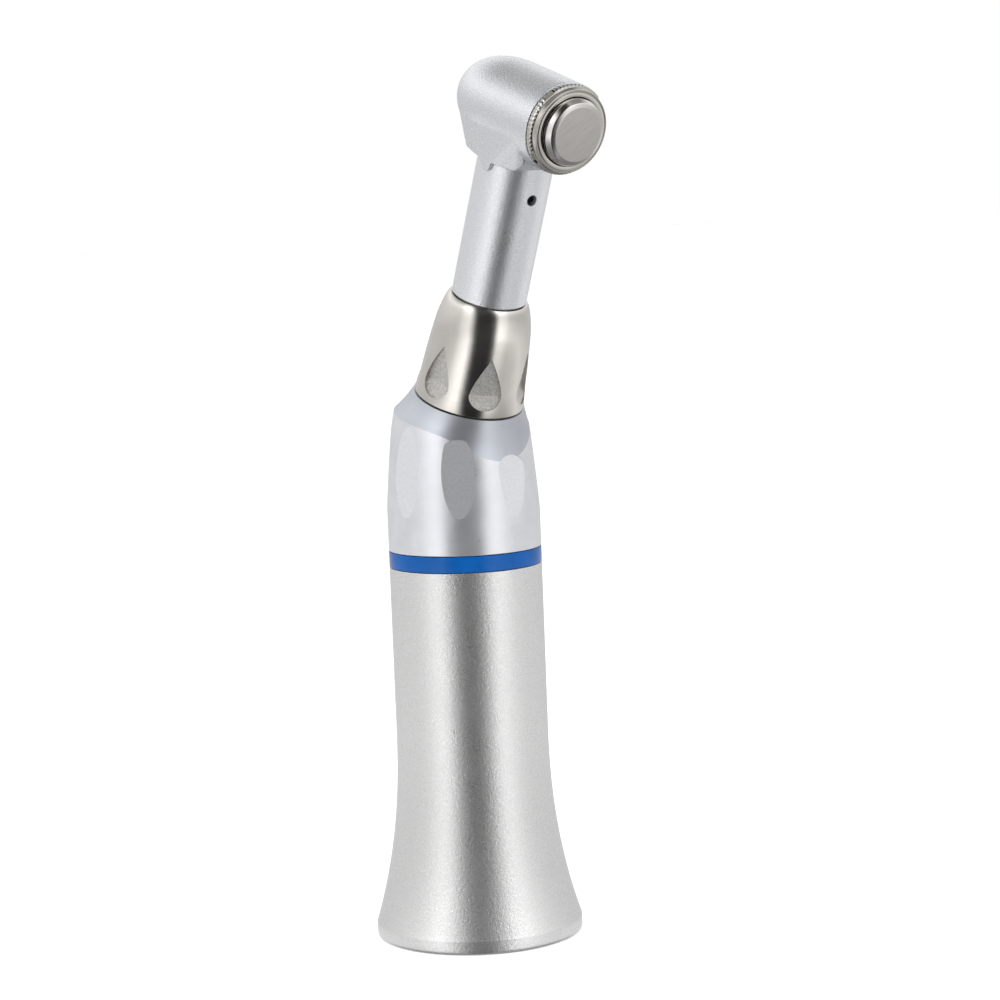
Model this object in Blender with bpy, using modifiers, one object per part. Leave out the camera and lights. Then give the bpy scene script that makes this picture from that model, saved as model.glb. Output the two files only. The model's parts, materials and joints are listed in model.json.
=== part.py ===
"""Contra angle dental handpiece with its whole drive train, as separate pieces.

The origin is the centre of the rear rim. +Z runs up the handle, the neck leans
towards +X, and the push button faces +X. Sizes below are in millimetres.
"""

import math

import bmesh
import bpy
from mathutils import Matrix, Vector

MM = 0.001

# Driving dimensions
BODY_RADIUS = 7.73
RIM_RADIUS = 10.5
RIM_HEIGHT = 1.4
FLARE_HEIGHT = 21.0
RING_BOTTOM = 37.96
RING_TOP = 39.55
BARREL_START = 43.0
BEND_HEIGHT = 50.57
NECK_TILT = math.radians(22.2)
HEAD_TO_NECK = math.radians(85.5)
NECK_RADIUS = 3.73
HEAD_RADIUS = 4.47
HEAD_ALONG_NECK = 34.93
COLLAR_BOTTOM = 4.75
COLLAR_TOP = 15.6
COLLAR_TURN = math.radians(35)
CHAMFER_TOP = 4.65
CHAMFER_RADIUS = 5.66
CHAMFER_REACH = 6.0
BUTTON_FACE = 8.68
BUR_SHANK_RADIUS = 1.175

# Clearances
FIT = 0.1
RUN = 0.08

# Bores shared by neighbouring pieces
SHEATH_BORE = 6.7
SPIGOT_RADIUS = 6.88
HOUSING_BORE = 4.3
GEAR_CHAMBER = 3.7
HEAD_SOCKET_RADIUS = 3.85
HEAD_SOCKET_BORE = 3.42
NECK_SPIGOT_RADIUS = 3.3
NECK_BORE = 2.55
HEAD_CAVITY = 3.7
CAP_THREAD_BORE = 3.95
SPINDLE_RADIUS = 1.5

# Drive shafts
REAR_SHAFT_RADIUS = 1.5
NECK_SHAFT_RADIUS = 1.0

# Grip recesses and milled flats
RECESSES = 6
FIRST_RECESS = math.radians(-20)
FLATS = 8
FIRST_FLAT = math.radians(7.5)
FLAT_FOOT = 43.3
FLAT_LEAN = math.radians(5.2)
FLAT_BLOCK = (3.0, 4.0, 10.0)

# The head's nose, towards the bur, and the saddle where the neck meets it
NOSE_START = 1.6
NOSE_LENGTH = 7.1
NOSE_CUT = 0.925
NOSE_BLUNTNESS = 0.36
SADDLE_DEPTH = 4.87
SADDLE_ROUNDING = 1.87
SADDLE_ROUND_START = 3.4
LOBE_RADIUS = 0.85
LOBE_REACH = 3.98
LOBE_PLACE = (0.45, -5.0)

COARSE = 16
MEDIUM = 24
FINE = 40

# Finishes: colour, metallic, roughness
FINISHES = {
    "satin_aluminium": ((0.62, 0.62, 0.61), 1.0, 0.42),
    "blue_aluminium": ((0.02, 0.14, 0.45), 0.3, 0.3),
    "body_aluminium": ((0.55, 0.57, 0.6), 1.0, 0.35),
    "nickel": ((0.52, 0.5, 0.47), 1.0, 0.28),
    "polished_steel": ((0.62, 0.6, 0.57), 1.0, 0.14),
    "brushed_steel": ((0.45, 0.43, 0.4), 1.0, 0.36),
    "gear_steel": ((0.4, 0.4, 0.42), 1.0, 0.3),
    "bearing_steel": ((0.55, 0.55, 0.56), 1.0, 0.18),
    "bronze": ((0.5, 0.32, 0.14), 1.0, 0.35),
    "spring_steel": ((0.35, 0.35, 0.36), 1.0, 0.3),
    "seal_rubber": ((0.02, 0.02, 0.02), 0.0, 0.6),
}


def clear_scene():
    for thing in list(bpy.data.objects):
        bpy.data.objects.remove(thing, do_unlink=True)


def new_collection(name):
    group = bpy.data.collections.new(name)
    bpy.context.scene.collection.children.link(group)
    return group


def finish_material(name):
    found = bpy.data.materials.get(name)
    if found:
        return found
    colour, metallic, roughness = FINISHES[name]
    made = bpy.data.materials.new(name)
    made.use_nodes = True
    shader = made.node_tree.nodes["Principled BSDF"]
    shader.inputs["Base Color"].default_value = (*colour, 1.0)
    shader.inputs["Metallic"].default_value = metallic
    shader.inputs["Roughness"].default_value = roughness
    return made


def new_axis(name, origin, tilt=0.0, flipped=False):
    """An empty whose Z is a working axis. A flipped one looks back along it."""
    axis = bpy.data.objects.new(name, None)
    axis.empty_display_size = 5 * MM
    turn = Matrix.Rotation(tilt, 4, "Y")
    if flipped:
        turn = turn @ Matrix.Rotation(math.pi, 4, "X")
    axis.matrix_world = Matrix.Translation(origin) @ turn
    PARTS.objects.link(axis)
    return axis


def along(origin, tilt, distance):
    direction = Vector((math.sin(tilt), 0.0, math.cos(tilt)))
    return origin + direction * distance * MM


def place(obj, axis, finish):
    """Puts an object on its axis, as a part with a finish or else as a cutter."""
    obj.parent = axis
    if finish is None:
        CUTTERS.objects.link(obj)
        obj.hide_render = True
        obj.display_type = "WIRE"
    else:
        PARTS.objects.link(obj)
        obj.data.materials.append(finish_material(finish))
    return obj


def from_bmesh(name, shape, axis, finish):
    bmesh.ops.recalc_face_normals(shape, faces=shape.faces)
    mesh = bpy.data.meshes.new(name)
    shape.to_mesh(mesh)
    shape.free()
    mesh.shade_smooth()
    mesh.set_sharp_from_angle(angle=math.radians(35))
    return place(bpy.data.objects.new(name, mesh), axis, finish)


def turned(name, profile, axis, finish=None, steps=MEDIUM):
    """Turns (radius, height) points about the axis: a ring, or a solid that starts and ends at radius 0."""
    solid = profile[0][0] == 0
    mesh = bpy.data.meshes.new(name)
    points = [(radius * MM, 0.0, height * MM) for radius, height in profile]
    edges = [(i, i + 1) for i in range(len(points) - 1)]
    if not solid:
        edges.append((len(points) - 1, 0))
    mesh.from_pydata(points, edges, [])
    obj = place(bpy.data.objects.new(name, mesh), axis, finish)
    screw = obj.modifiers.new("turn", "SCREW")
    screw.steps = steps
    screw.render_steps = steps
    screw.use_merge_vertices = True
    screw.merge_threshold = 0.00001
    return obj


def tube(name, outer, inner, bottom, top, axis, finish=None, steps=MEDIUM):
    profile = [(outer, top), (outer, bottom), (inner, bottom), (inner, top)]
    return turned(name, profile, axis, finish, steps)


def rod(name, radius, bottom, top, axis, finish=None, steps=MEDIUM):
    profile = [(0, top), (radius, top), (radius, bottom), (0, bottom)]
    return turned(name, profile, axis, finish, steps)


def radial_rod(name, radius, inner, outer, height, azimuth, axis, finish=None, steps=16):
    """A pin or drill that points straight out from the axis."""
    shape = bmesh.new()
    turn = Matrix.Rotation(azimuth, 4, "Z") @ Matrix.Rotation(math.pi / 2, 4, "Y")
    middle = Matrix.Translation((0, 0, (inner + outer) / 2 * MM))
    lift = Matrix.Translation((0, 0, height * MM))
    bmesh.ops.create_cone(
        shape,
        cap_ends=True,
        segments=steps,
        radius1=radius * MM,
        radius2=radius * MM,
        depth=(outer - inner) * MM,
        matrix=lift @ turn @ middle,
    )
    return from_bmesh(name, shape, axis, finish)


def swept_bar(name, inner, outer, bottom, top, start, sweep, axis, finish=None, steps=MEDIUM):
    """A rectangular bar bent round the axis through part of a turn, such as a snap ring."""
    shape = bmesh.new()
    corners = [(inner, bottom), (outer, bottom), (outer, top), (inner, top)]
    across = Vector((math.cos(start), math.sin(start), 0))
    up = Vector((0, 0, 1))
    points = [shape.verts.new((across * radius + up * height) * MM) for radius, height in corners]
    face = shape.faces.new(points)
    bmesh.ops.spin(
        shape,
        geom=[face, *face.edges, *face.verts],
        axis=up,
        cent=(0, 0, 0),
        angle=sweep,
        steps=steps,
        use_duplicate=False,
    )
    return from_bmesh(name, shape, axis, finish)


def wedge(name, corners, axis, finish=None):
    """The smallest convex block round some corners."""
    shape = bmesh.new()
    for corner in corners:
        shape.verts.new(Vector(corner) * MM)
    hull = bmesh.ops.convex_hull(shape, input=shape.verts)
    bmesh.ops.delete(shape, geom=list(set(hull["geom_interior"])), context="VERTS")
    return from_bmesh(name, shape, axis, finish)


def box(name, size, middle, azimuth, axis, finish=None):
    shape = bmesh.new()
    turn = Matrix.Rotation(azimuth, 4, "Z")
    shift = Matrix.Translation(Vector(middle) * MM)
    scale = Matrix.Diagonal((*(Vector(size) * MM), 1))
    bmesh.ops.create_cube(shape, size=1.0, matrix=turn @ shift @ scale)
    return from_bmesh(name, shape, axis, finish)


def combine(obj, other, operation="DIFFERENCE"):
    boolean = obj.modifiers.new(other.name, "BOOLEAN")
    boolean.operation = operation
    boolean.object = other
    return obj


def arc(middle, radius, start, end, steps):
    """Points on a circle in the (radius, height) plane, angles from the outward direction."""
    angles = [start + (end - start) * i / steps for i in range(steps + 1)]
    return [(middle[0] + radius * math.cos(a), middle[1] + radius * math.sin(a)) for a in angles]


def flare_radius(height):
    """The rear sheath's outside: straight, then a bell towards the rim."""
    reach = max(0.0, (FLARE_HEIGHT - height) / FLARE_HEIGHT)
    return BODY_RADIUS + 3.23 * reach**2.25


def barrel_radius(height):
    """The front body's outside, which draws in towards the bend."""
    return BODY_RADIUS - 0.0094 * max(0.0, height - BARREL_START) ** 2


def make_rear_sheath():
    heights = [FLARE_HEIGHT - (FLARE_HEIGHT - RIM_HEIGHT - 0.15) * i / 7 for i in range(8)]
    outside = [(BODY_RADIUS, RING_BOTTOM - 0.06)] + [(flare_radius(z), z) for z in heights]
    edge = [(RIM_RADIUS, RIM_HEIGHT), (RIM_RADIUS, 0.45), (10.37, 0.13), (10.05, 0.0)]
    mouth = [(9.0, 0.0), (8.6, 0.45), (8.3, 6.4), (SHEATH_BORE, 8.2)]
    thread = [(SHEATH_BORE, 27.6), (SPIGOT_RADIUS + FIT, 27.9), (SPIGOT_RADIUS + FIT, RING_BOTTOM - 0.06)]
    turned("rear_sheath", outside + edge + mouth + thread, BODY, "satin_aluminium", FINE)


def make_blue_ring():
    tube(
        "blue_ring",
        BODY_RADIUS,
        SPIGOT_RADIUS + FIT,
        RING_BOTTOM,
        RING_TOP,
        BODY,
        "blue_aluminium",
        FINE,
    )


def make_front_body():
    heights = [BARREL_START, 46.0, 49.0, 51.5, 54.0, 58.0]
    side = [(barrel_radius(z), z) for z in reversed(heights)]
    shoulder = [(BODY_RADIUS, RING_TOP + 0.06), (SPIGOT_RADIUS, RING_TOP + 0.06)]
    groove = [(SPIGOT_RADIUS, 31.75), (6.25, 31.75), (6.25, 30.45), (SPIGOT_RADIUS, 30.45)]
    foot = [(SPIGOT_RADIUS, 28.2), (0, 28.2)]
    body = turned("front_body", [(0, 58.0)] + side + shoulder + groove + foot, BODY, "body_aluminium", FINE)

    # The top is turned about the neck axis: a flat seat, then a chamfer that falls away from it.
    combine(body, turned("front_body_top", chamfer_outline(), NECK, steps=FINE), "INTERSECT")
    combine(body, rod("housing_cut", HOUSING_BORE, 27.0, 47.9, BODY))
    combine(body, rod("gear_chamber_cut", GEAR_CHAMBER, 47.8, BEND_HEIGHT + 0.4, BODY))
    combine(body, rod("head_socket_cut", HEAD_SOCKET_RADIUS + FIT, -0.9, 7.0, NECK))
    for i in range(FLATS):
        combine(body, flat_cutter(i))


def chamfer_outline():
    """Nearly a cone, a little rounded, which goes on as a wide skirt round the whole body."""
    steps = 6
    drops = [CHAMFER_REACH * i / steps for i in range(steps + 1)]
    chamfer = [(CHAMFER_RADIUS + 0.36 * drop + 0.05 * drop**2, CHAMFER_TOP - drop) for drop in drops]
    foot = CHAMFER_TOP - CHAMFER_REACH
    return [(0, CHAMFER_TOP), *chamfer, (30.0, foot - 20.0), (0, foot - 40.0)]


def flat_cutter(index):
    """A block whose inner face is one milled flat, which leans in with the barrel and runs out of it."""
    thick, _, tall = FLAT_BLOCK
    cutter = box(f"flat_{index}", FLAT_BLOCK, (thick / 2, 0, tall / 2), 0.0, BODY)
    cutter.matrix_local = (
        Matrix.Rotation(FIRST_FLAT + index * math.tau / FLATS, 4, "Z")
        @ Matrix.Translation(Vector((BODY_RADIUS, 0, FLAT_FOOT)) * MM)
        @ Matrix.Rotation(-FLAT_LEAN, 4, "Y")
    )
    return cutter


def make_body_seals_and_housing():
    section = arc((6.6, 31.1), 0.3, math.pi / 2, -3 * math.pi / 2, 6)[:-1]
    turned("body_seal_ring", section, BODY, "seal_rubber")
    nut = tube("bearing_retaining_nut", HOUSING_BORE - FIT, 2.6, 26.7, 28.7, BODY, "brushed_steel", COARSE)
    combine(nut, box("spanner_slot", (12.0, 0.8, 1.2), (0, 0, 26.7), 0.0, BODY))
    tube("bearing_spacer", HOUSING_BORE - FIT, 3.5, 31.55, 43.05, BODY, "brushed_steel", COARSE)
    make_wave_washer()


def make_wave_washer():
    """A thin ring bent into three waves, which preloads the two shaft bearings."""
    shape = bmesh.new()
    steps, waves = 24, 3
    inner, outer, low, thick = 3.5, 4.15, 43.25, 0.12
    rings = []
    for i in range(steps):
        angle = math.tau * i / steps
        lift = 0.1 * math.sin(waves * angle)
        corners = [(inner, low), (outer, low), (outer, low + thick), (inner, low + thick)]
        points = [(r * math.cos(angle), r * math.sin(angle), z + lift) for r, z in corners]
        rings.append([shape.verts.new(Vector(point) * MM) for point in points])
    for i in range(steps):
        here, there = rings[i], rings[(i + 1) % steps]
        for k in range(4):
            shape.faces.new((here[k], here[(k + 1) % 4], there[(k + 1) % 4], there[k]))
    from_bmesh("preload_washer", shape, BODY, "spring_steel")


def make_motor_socket():
    profile = [
        (SHEATH_BORE - FIT, 24.2),
        (SHEATH_BORE - FIT, 8.5),
        (4.9, 8.5),
        (4.4, 9.2),
        (4.4, 13.6),
        (4.95, 13.6),
        (4.95, 14.6),
        (4.4, 14.6),
        (4.4, 24.2),
    ]
    turned("motor_socket_sleeve", profile, BODY, "brushed_steel")
    gap = math.radians(34)
    swept_bar(
        "motor_snap_ring", 4.15, 4.8, 13.8, 14.4, gap / 2, math.tau - gap, BODY, "spring_steel", COARSE
    )


def bearing(name, axis, middle, bore, outer, width, ball_radius, balls):
    """A deep-groove ball bearing: two rings, and the balls joined by their ribbon cage."""
    pitch = (bore + outer) / 2
    land = 0.6 * ball_radius
    groove = ball_radius + RUN
    turn = math.acos(land / groove)
    top, bottom = middle + width / 2, middle - width / 2
    inner_race = arc((pitch, middle), groove, math.pi - turn, math.pi + turn, 3)
    outer_race = arc((pitch, middle), groove, -turn, turn, 3)
    turned(
        f"{name}_inner_ring",
        [(pitch - land, top), *inner_race, (pitch - land, bottom), (bore, bottom), (bore, top)],
        axis,
        "bearing_steel",
        COARSE,
    )
    turned(
        f"{name}_outer_ring",
        [(outer, top), (outer, bottom), (pitch + land, bottom), *outer_race, (pitch + land, top)],
        axis,
        "bearing_steel",
        COARSE,
    )
    half = 0.28 * ball_radius
    cage = tube(
        f"{name}_balls", pitch + half, pitch - half, middle - half, middle + half, axis, "bearing_steel", COARSE
    )
    shape = bmesh.new()
    for i in range(balls):
        angle = math.tau * i / balls
        spot = Vector((pitch * math.cos(angle), pitch * math.sin(angle), middle)) * MM
        bmesh.ops.create_uvsphere(
            shape, u_segments=6, v_segments=5, radius=ball_radius * MM, matrix=Matrix.Translation(spot)
        )
    combine(cage, from_bmesh(f"{name}_ball_set", shape, axis, None), "UNION")


def bevel_gear(name, axis, pitch_radius, cone, face, teeth, bore, back, hub, turn=0.0):
    """A bevel gear below its cone's apex, which is the axis's origin.

    cone is the pitch cone's half angle, back the height of the blank's rear face
    and hub the radius and height of the hub behind it.
    """
    along_pitch = Vector((math.sin(cone), -math.cos(cone)))
    out_of_pitch = Vector((math.cos(cone), math.sin(cone)))
    outer_reach = pitch_radius / math.sin(cone)
    inner_reach = outer_reach - face
    module = 2 * pitch_radius / teeth
    tip, root = 0.75 * module, 0.95 * module

    def point(reach, rise):
        return along_pitch * reach + out_of_pitch * rise * reach / outer_reach

    inner, outer = point(inner_reach, -root), point(outer_reach, -root)
    profile = [
        (bore, inner.y),
        (inner.x, inner.y),
        (outer.x, outer.y),
        (outer.x, back),
        (hub[0], back),
        (hub[0], hub[1]),
        (bore, hub[1]),
    ]
    gear = turned(name, profile, axis, "gear_steel", teeth)
    shape = bmesh.new()
    for i in range(teeth):
        angle = turn + math.tau * i / teeth
        add_tooth(shape, point, (inner_reach, outer_reach), (-root - 0.12, tip), module, angle)
    return combine(gear, from_bmesh(f"{name}_teeth", shape, axis, None), "UNION")


def add_tooth(shape, point, reaches, rises, module, angle):
    """One straight tooth, tapered towards the apex and narrower at its tip."""
    widths = (1.08 * module, 0.34 * module)
    spin = Matrix.Rotation(angle, 4, "Z")
    cube = bmesh.ops.create_cube(shape, size=2.0)["verts"]
    for corner in cube:
        end, side, level = (round((value + 1) / 2) for value in corner.co)
        spot = point(reaches[end], rises[level])
        half = widths[level] * reaches[end] / reaches[1] / 2
        corner.co = spin @ (Vector((spot.x, half * (2 * side - 1), spot.y)) * MM)


def make_rear_drive():
    dog = tube("drive_dog", 2.3, 1.25, 21.6, 26.2, BODY, "gear_steel", COARSE)
    combine(dog, box("dog_slot", (6.0, 1.3, 4.4), (0, 0, 21.6), 0.0, BODY))
    profile = [
        (0, 48.9),
        (REAR_SHAFT_RADIUS, 48.9),
        (REAR_SHAFT_RADIUS, 43.65),
        (1.95, 43.65),
        (1.95, 31.45),
        (REAR_SHAFT_RADIUS, 31.45),
        (REAR_SHAFT_RADIUS, 26.3),
        (1.2, 26.3),
        (1.2, 24.3),
        (0, 24.3),
    ]
    turned("rear_shaft", profile, BODY, "gear_steel", COARSE)
    bearing("shaft_rear_bearing", BODY, 30.15, REAR_SHAFT_RADIUS + 0.05, HOUSING_BORE - FIT, 2.5, 0.62, 6)
    bearing("shaft_front_bearing", BODY, 44.95, REAR_SHAFT_RADIUS + 0.05, HOUSING_BORE - FIT, 2.5, 0.62, 6)
    crown_cone = (math.pi - NECK_TILT) / 2
    teeth = 14
    gear = (2.9, crown_cone, 1.0, teeth)
    rear_bore, neck_bore = REAR_SHAFT_RADIUS + 0.05, NECK_SHAFT_RADIUS + 0.05
    bevel_gear("rear_crown_gear", BEND, *gear, rear_bore, -1.9, (2.1, -4.1))
    bevel_gear("neck_crown_gear", BEND_BACK, *gear, neck_bore, -1.8, (1.7, -2.5), math.pi / teeth)


def make_head_socket():
    profile = [
        (HEAD_SOCKET_RADIUS, 12.95),
        (HEAD_SOCKET_RADIUS, 10.5),
        (3.62, 10.5),
        (3.62, 9.9),
        (HEAD_SOCKET_RADIUS, 9.9),
        (HEAD_SOCKET_RADIUS, 0.95),
        (HEAD_SOCKET_BORE, 0.95),
        (HEAD_SOCKET_BORE, 12.95),
    ]
    socket = turned("head_socket", profile, NECK, "brushed_steel")
    combine(socket, radial_rod("pin_hole", 0.4, 3.0, 4.4, 11.7, math.pi, NECK))
    radial_rod("collar_stop_pin", 0.34, 3.46, 4.3, 11.7, math.pi, NECK, "brushed_steel", 12)
    gap = math.radians(50)
    swept_bar(
        "collar_circlip", 3.68, 4.1, 10.05, 10.35, gap / 2, math.tau - gap, NECK, "spring_steel", COARSE
    )


def make_lock_collar():
    outside = [
        (3.86, COLLAR_TOP),
        (4.08, 15.3),
        (4.34, 14.6),
        (4.6, 13.6),
        (4.8, 12.5),
        (5.02, 10.4),
        (5.3, 7.0),
        (5.55, COLLAR_BOTTOM),
    ]
    inside = [
        (3.98, COLLAR_BOTTOM),
        (3.98, 9.9),
        (4.22, 9.9),
        (4.22, 10.5),
        (3.98, 10.5),
        (3.98, 13.15),
        (3.46, 13.15),
        (3.46, COLLAR_TOP),
    ]
    collar = turned("lock_collar", outside + inside, NECK, "nickel", FINE)
    slack = math.radians(7)
    slot = swept_bar(
        "stop_slot",
        3.8,
        4.42,
        11.2,
        12.2,
        math.pi - COLLAR_TURN - slack,
        COLLAR_TURN + 2 * slack,
        NECK,
        steps=8,
    )
    combine(collar, slot)
    for i in range(RECESSES):
        combine(collar, recess_cutter(i))


def recess_cutter(index):
    """A teardrop grip recess: point upwards, deepest about a third of the way up."""
    azimuth = FIRST_RECESS + index * math.tau / RECESSES
    outline = [(0, 10.9), (0.95, 8.9), (1.62, 7.2), (1.35, 6.1), (0.75, 5.6)]
    depth = [(0, 10.2, 5.02), (0, 7.2, 4.78), (0.9, 7.2, 4.86), (0.5, 6.2, 5.05)]
    corners = []
    for side in (-1, 1):
        corners += [(6.6, side * across, height) for across, height in outline]
        corners += [(5.25, side * across * 0.93, height) for across, height in outline[1:]]
        corners += [(radius, side * across, height) for across, height, radius in depth]
    cutter = wedge(f"recess_{index}", corners, NECK)
    cutter.rotation_euler.z = azimuth
    return cutter


def make_neck():
    profile = [
        (NECK_RADIUS, 31.0),
        (NECK_RADIUS, COLLAR_TOP + 0.12),
        (NECK_SPIGOT_RADIUS, COLLAR_TOP + 0.12),
        (NECK_SPIGOT_RADIUS, 9.3),
        (2.95, 9.3),
        (2.95, 8.7),
        (NECK_SPIGOT_RADIUS, 8.7),
        (NECK_SPIGOT_RADIUS, 2.7),
        (NECK_BORE, 2.7),
        (NECK_BORE, 31.0),
    ]
    neck = turned("neck_tube", profile, NECK, "body_aluminium")
    combine(neck, radial_rod("neck_hole", 0.53, 2.0, 5.0, 27.1, 0.0, NECK))
    radial_rod("neck_locating_screw", 0.42, 2.62, 3.25, 27.1, 0.0, NECK, "brushed_steel", 12)
    section = arc((3.17, 9.0), 0.2, math.pi / 2, -3 * math.pi / 2, 6)[:-1]
    turned("neck_seal_ring", section, NECK, "seal_rubber", COARSE)
    bearing("neck_bearing", NECK, 4.2, NECK_SHAFT_RADIUS + 0.05, NECK_BORE - 0.05, 1.9, 0.36, 7)
    tube("neck_bush", NECK_BORE - 0.05, NECK_SHAFT_RADIUS + RUN, 25.6, 28.8, NECK, "bronze", COARSE)
    rod("neck_shaft", NECK_SHAFT_RADIUS, 1.1, 32.5, NECK, "gear_steel", COARSE)


def nose_outline():
    """The head's blunt end towards the bur, a little fuller than an ellipse."""
    steps = 8
    shares = [NOSE_CUT * math.sin(math.pi / 2 * i / steps) for i in range(steps + 1)]
    radii = [HEAD_RADIUS * (1 - share**2) ** NOSE_BLUNTNESS for share in shares]
    return [(radius, -NOSE_START - NOSE_LENGTH * share) for radius, share in zip(radii, shares)]


def saddle_corners():
    """Corners of the saddle as (below the head's axis, across, along it), rounded at the cap's end."""
    bottom = [(-5.6, 1.2), (-4.95, 2.8), (-3.9, 3.15), (-2.2, 3.65), (-0.6, 3.95), (1.0, 3.95), (2.2, 3.75)]
    corners = [(SADDLE_DEPTH, across, height) for height, across in bottom]
    steps = 5
    for i in range(steps + 1):
        turn = math.pi / 2 * i / steps
        depth = SADDLE_DEPTH - SADDLE_ROUNDING * (1 - math.cos(turn))
        height = SADDLE_ROUND_START + SADDLE_ROUNDING * math.sin(turn)
        corners.append((depth, 3.45 - 0.45 * i / steps, height))
    sides = [(1.6, 3.0, -6.75), (2.2, 1.5, -7.3), (1.2, 4.1, -4.0), (1.2, 4.25, 3.0), (1.0, 4.2, 5.0)]
    return [(depth, side * across, height) for side in (-1, 1) for depth, across, height in corners + sides]


def make_head_shell():
    nose = nose_outline()
    outside = [(0, 6.38), (HEAD_RADIUS, 6.38), *nose, (0, nose[-1][1])]
    shell = turned("head_shell", outside, HEAD, "body_aluminium", FINE)
    combine(shell, wedge("saddle", saddle_corners(), HEAD), "UNION")
    lobe = rod("saddle_lobe", LOBE_RADIUS, -LOBE_REACH, LOBE_REACH, LOBE, steps=16)
    combine(shell, lobe, "UNION")
    cavity = [
        (0, 7.0),
        (CAP_THREAD_BORE, 7.0),
        (CAP_THREAD_BORE, 5.25),
        (HEAD_CAVITY, 5.25),
        (HEAD_CAVITY, -4.5),
        (3.3, -4.5),
        (3.3, -6.45),
        (1.95, -6.45),
        (1.95, -9.5),
        (0, -9.5),
    ]
    combine(shell, turned("head_cavity", cavity, HEAD))
    mouth = NECK_RADIUS + 0.07
    port = [(0, -0.9), (3.0, -0.9), (3.0, -3.88), (mouth, -3.88), (mouth, -7.0), (0, -7.0)]
    combine(shell, turned("neck_port", port, NECK_AT_HEAD))


def make_cap_and_button():
    profile = [
        (3.62, 7.62),
        (3.98, 7.55),
        (4.1, 7.15),
        (4.4, 7.0),
        (4.44, 6.5),
        (CAP_THREAD_BORE - FIT, 6.5),
        (CAP_THREAD_BORE - FIT, 5.3),
        (3.62, 5.3),
        (3.62, 7.0),
        (3.52, 7.0),
    ]
    cap = turned("cap_ring", profile, HEAD, "polished_steel")
    for i in range(4):
        azimuth = math.tau * i / 4 + math.radians(38)
        combine(cap, box(f"spanner_notch_{i}", (1.2, 1.3, 1.1), (4.75, 0, 7.1), azimuth, HEAD))
    shoulder = arc((2.72, 8.05), 0.63, math.pi / 2, 0, 5)
    button = [
        (0, BUTTON_FACE),
        *shoulder,
        (3.35, 6.85),
        (3.52, 6.85),
        (3.52, 6.2),
        (2.65, 6.2),
        (2.65, 7.6),
        (0, 7.6),
    ]
    turned("push_button", button, HEAD, "brushed_steel")
    plunger = [(0, 7.5), (1.5, 7.5), (1.5, 7.1), (1.0, 7.1), (1.0, 6.2), (0.7, 5.75), (0, 5.75)]
    turned("release_plunger", plunger, HEAD, "gear_steel", COARSE)
    tube("spring_seat_washer", 3.55, 2.35, 5.3, 5.5, HEAD, "brushed_steel", COARSE)
    make_button_spring()


def make_button_spring():
    turns, wire, radius, low, high = 3, 0.14, 2.45, 5.68, 7.42
    points_per_turn = 10
    curve = bpy.data.curves.new("button_spring", "CURVE")
    curve.dimensions = "3D"
    curve.bevel_depth = wire * MM
    curve.bevel_resolution = 1
    curve.use_fill_caps = True
    line = curve.splines.new("POLY")
    total = turns * points_per_turn
    line.points.add(total)
    for i in range(total + 1):
        angle = math.tau * i / points_per_turn
        height = low + (high - low) * i / total
        spot = Vector((radius * math.cos(angle), radius * math.sin(angle), height)) * MM
        line.points[i].co = (*spot, 1.0)
    place(bpy.data.objects.new("button_spring", curve), HEAD, "spring_steel")


def make_chuck():
    spindle = [
        (2.1, 5.75),
        (2.1, 3.2),
        (SPINDLE_RADIUS, 2.9),
        (SPINDLE_RADIUS, -4.3),
        (1.7, -4.3),
        (1.7, -8.05),
        (1.25, -8.05),
        (1.2, -7.95),
        (1.2, 2.95),
        (1.8, 3.15),
        (1.8, 5.75),
    ]
    turned("chuck_spindle", spindle, HEAD, "gear_steel", COARSE)
    grip = BUR_SHANK_RADIUS + 0.03
    jaws = [(1.74, 5.7), (1.74, 3.2), (grip, 3.2), (grip, 4.9), (1.5, 5.7)]
    collet = turned("chuck_collet", jaws, HEAD, "brushed_steel", COARSE)
    for i in range(3):
        azimuth = math.tau * i / 3
        combine(collet, box(f"collet_slot_{i}", (2.0, 0.3, 3.2), (1.6, 0, 5.6), azimuth, HEAD))
    head_cone = HEAD_TO_NECK / 2
    teeth = 12
    gear = (2.5, head_cone, 0.95, teeth)
    bevel_gear("chuck_gear", HEAD, *gear, SPINDLE_RADIUS + FIT, -3.6, (2.2, -4.25))
    bore = NECK_SHAFT_RADIUS + 0.05
    bevel_gear("neck_pinion", NECK_AT_HEAD, *gear, bore, -3.5, (1.7, -4.4), math.pi / teeth)
    bearing("bur_side_bearing", HEAD, -5.5, 1.75, 3.25, 1.8, 0.4, 7)
    bearing("button_side_bearing", HEAD, 4.3, 2.15, HEAD_CAVITY - 0.05, 1.7, 0.4, 8)


clear_scene()
PARTS = new_collection("contra_angle_handpiece")
CUTTERS = new_collection("cutters")

bend = Vector((0, 0, BEND_HEIGHT)) * MM
head_centre = along(bend, NECK_TILT, HEAD_ALONG_NECK)
HEAD_TILT = NECK_TILT + HEAD_TO_NECK
BODY = new_axis("body_axis", Vector((0, 0, 0)))
BEND = new_axis("rear_crown_axis", bend)
BEND_BACK = new_axis("neck_crown_axis", bend, NECK_TILT, flipped=True)
NECK = new_axis("neck_axis", bend, NECK_TILT)
NECK_AT_HEAD = new_axis("neck_axis_at_head", head_centre, NECK_TILT)
HEAD = new_axis("head_axis", head_centre, HEAD_TILT)
LOBE = new_axis("saddle_lobe_axis", head_centre, NECK_TILT)
lobe_shift = Matrix.Translation(Vector((LOBE_PLACE[0], 0, LOBE_PLACE[1])) * MM)
LOBE.matrix_world = LOBE.matrix_world @ lobe_shift @ Matrix.Rotation(math.pi / 2, 4, "X")

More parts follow.
